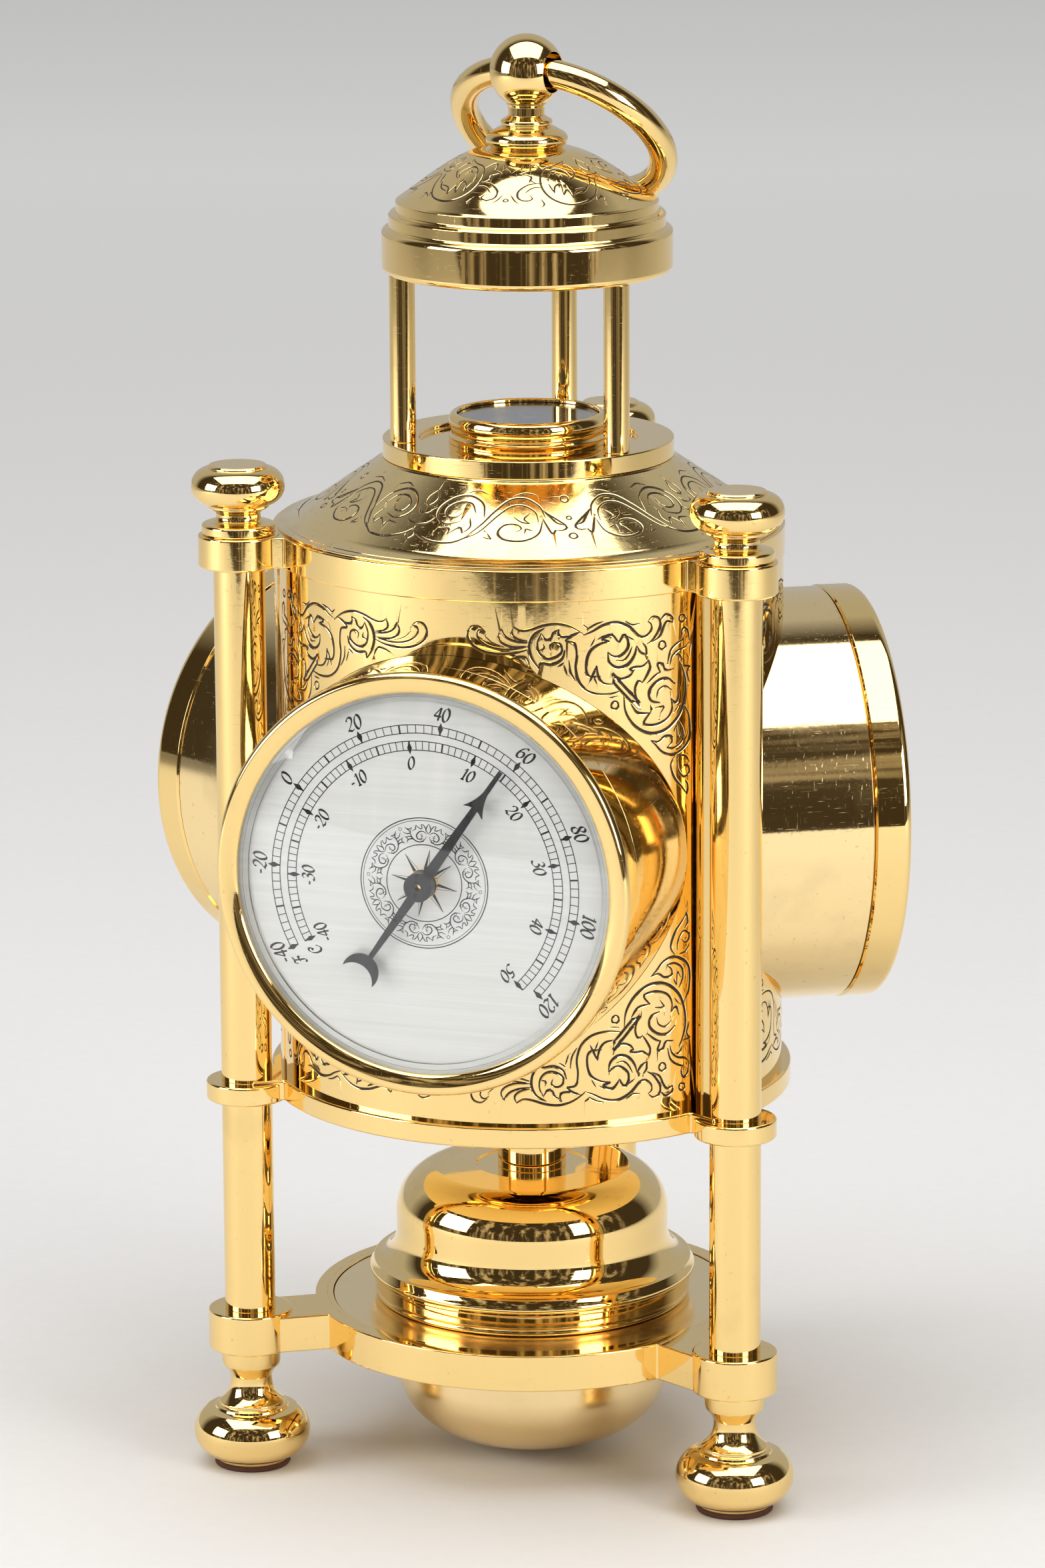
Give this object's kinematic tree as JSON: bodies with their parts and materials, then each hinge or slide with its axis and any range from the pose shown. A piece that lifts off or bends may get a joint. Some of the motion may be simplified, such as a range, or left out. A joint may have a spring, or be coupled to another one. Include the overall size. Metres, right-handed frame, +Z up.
{
  "type": "desk weather station",
  "caption": "Free-standing three-sided lantern weather station with thermometer, clock, barometer, compass and carrying ring.",
  "frame": {"origin": "on the central vertical axis, at the surface it stands on", "axes": "+Z up; the thermometer looks within 1.2 degrees of -Y; the clock and the barometer look 120 degrees to either side of it"},
  "size_m": [0.1463, 0.1308, 0.2661],
  "materials": {
    "polished_gilt": "mirror-polished gilt brass, lightly worn",
    "satin_gilt": "satin gilt brass",
    "steel": "plain turned",
    "felt": "brown felt",
    "crystal": "clear",
    "silvered_dial": "fine brushed, silver-white, printed in black",
    "compass_card": "matt dark",
    "black_hand": "satin black",
    "blued_needle": "blued",
    "movement_case": "moulded"
  },
  "bodies": {
    "frame": {"felt_pads": "felt", "foot_left": "polished_gilt", "foot_right": "polished_gilt", "foot_back": "polished_gilt", "lower_tube_left": "polished_gilt", "lower_tube_right": "polished_gilt", "lower_tube_back": "polished_gilt", "upper_tube_left": "polished_gilt", "upper_tube_right": "polished_gilt", "upper_tube_back": "polished_gilt", "tie_rods": "steel", "knob_left": "polished_gilt", "knob_right": "polished_gilt", "knob_back": "polished_gilt", "base_ring": "polished_gilt", "base_disc": "satin_gilt", "bell": "polished_gilt", "bowl": "satin_gilt", "centre_post": "polished_gilt", "centre_bolt": "steel", "body_base": "polished_gilt", "panel_front": "polished_gilt", "panel_right": "polished_gilt", "panel_left": "polished_gilt", "seam_strips": "polished_gilt", "top_plate": "polished_gilt", "roof": "polished_gilt", "lantern_ring": "polished_gilt", "lantern_posts": "polished_gilt", "canopy": "polished_gilt", "finial": "polished_gilt", "compass_case": "polished_gilt", "compass_bezel": "polished_gilt", "compass_glass": "crystal", "compass_card": "compass_card", "thermometer_drum": "polished_gilt", "thermometer_bezel": "polished_gilt", "thermometer_crystal": "crystal", "thermometer_dial": "silvered_dial", "thermometer_case": "steel", "bimetal_coil": "steel", "clock_drum": "polished_gilt", "clock_bezel": "polished_gilt", "clock_crystal": "crystal", "clock_dial": "silvered_dial", "clock_movement": "movement_case", "barometer_drum": "polished_gilt", "barometer_bezel": "polished_gilt", "barometer_crystal": "crystal", "barometer_dial": "silvered_dial", "aneroid_capsule": "steel"},
    "ring": {"ring_handle": "polished_gilt"},
    "thermometer_hand": {"thermometer_arbor": "polished_gilt", "thermometer_pointer": "black_hand"},
    "minute": {"minute_hand": "black_hand"},
    "hour": {"hour_hand": "black_hand"},
    "barometer_hand": {"barometer_pointer": "black_hand"},
    "marker": {"set_hand": "polished_gilt"},
    "needle": {"compass_needle": "blued_needle"}
  },
  "joints": [
    {"name": "ring_swing", "type": "hinge", "parent": "frame", "child": "ring", "pos_m": [0, 0, 0.25935], "axis": [0.9781, -0.2079, 0], "range_deg": [0, 264.8]},
    {"name": "thermometer_turn", "type": "hinge", "parent": "frame", "child": "thermometer_hand", "pos_m": [-0.00125, -0.05989, 0.123], "axis": [0.0209, 0.9998, 0], "range_deg": [-153.3, 97]},
    {"name": "minute_turn", "type": "hinge", "parent": "frame", "child": "minute", "pos_m": [0.05249, 0.02886, 0.123], "axis": [-0.8763, -0.4818, 0], "continuous": true},
    {"name": "hour_turn", "type": "hinge", "parent": "frame", "child": "hour", "pos_m": [0.05249, 0.02886, 0.123], "axis": [-0.8763, -0.4818, 0], "continuous": true},
    {"name": "barometer_turn", "type": "hinge", "parent": "frame", "child": "barometer_hand", "pos_m": [-0.05124, 0.03103, 0.123], "axis": [0.8554, -0.518, 0], "range_deg": [-152, 108]},
    {"name": "marker_turn", "type": "hinge", "parent": "frame", "child": "marker", "pos_m": [-0.05124, 0.03103, 0.123], "axis": [0.8554, -0.518, 0], "continuous": true},
    {"name": "needle_turn", "type": "hinge", "parent": "frame", "child": "needle", "pos_m": [0, 0, 0.1945], "axis": [0, 0, 1], "continuous": true}
  ],
  "couplings": [
    {"joint": "hour_turn", "follows": "minute_turn", "ratio": 0.083333}
  ]
}
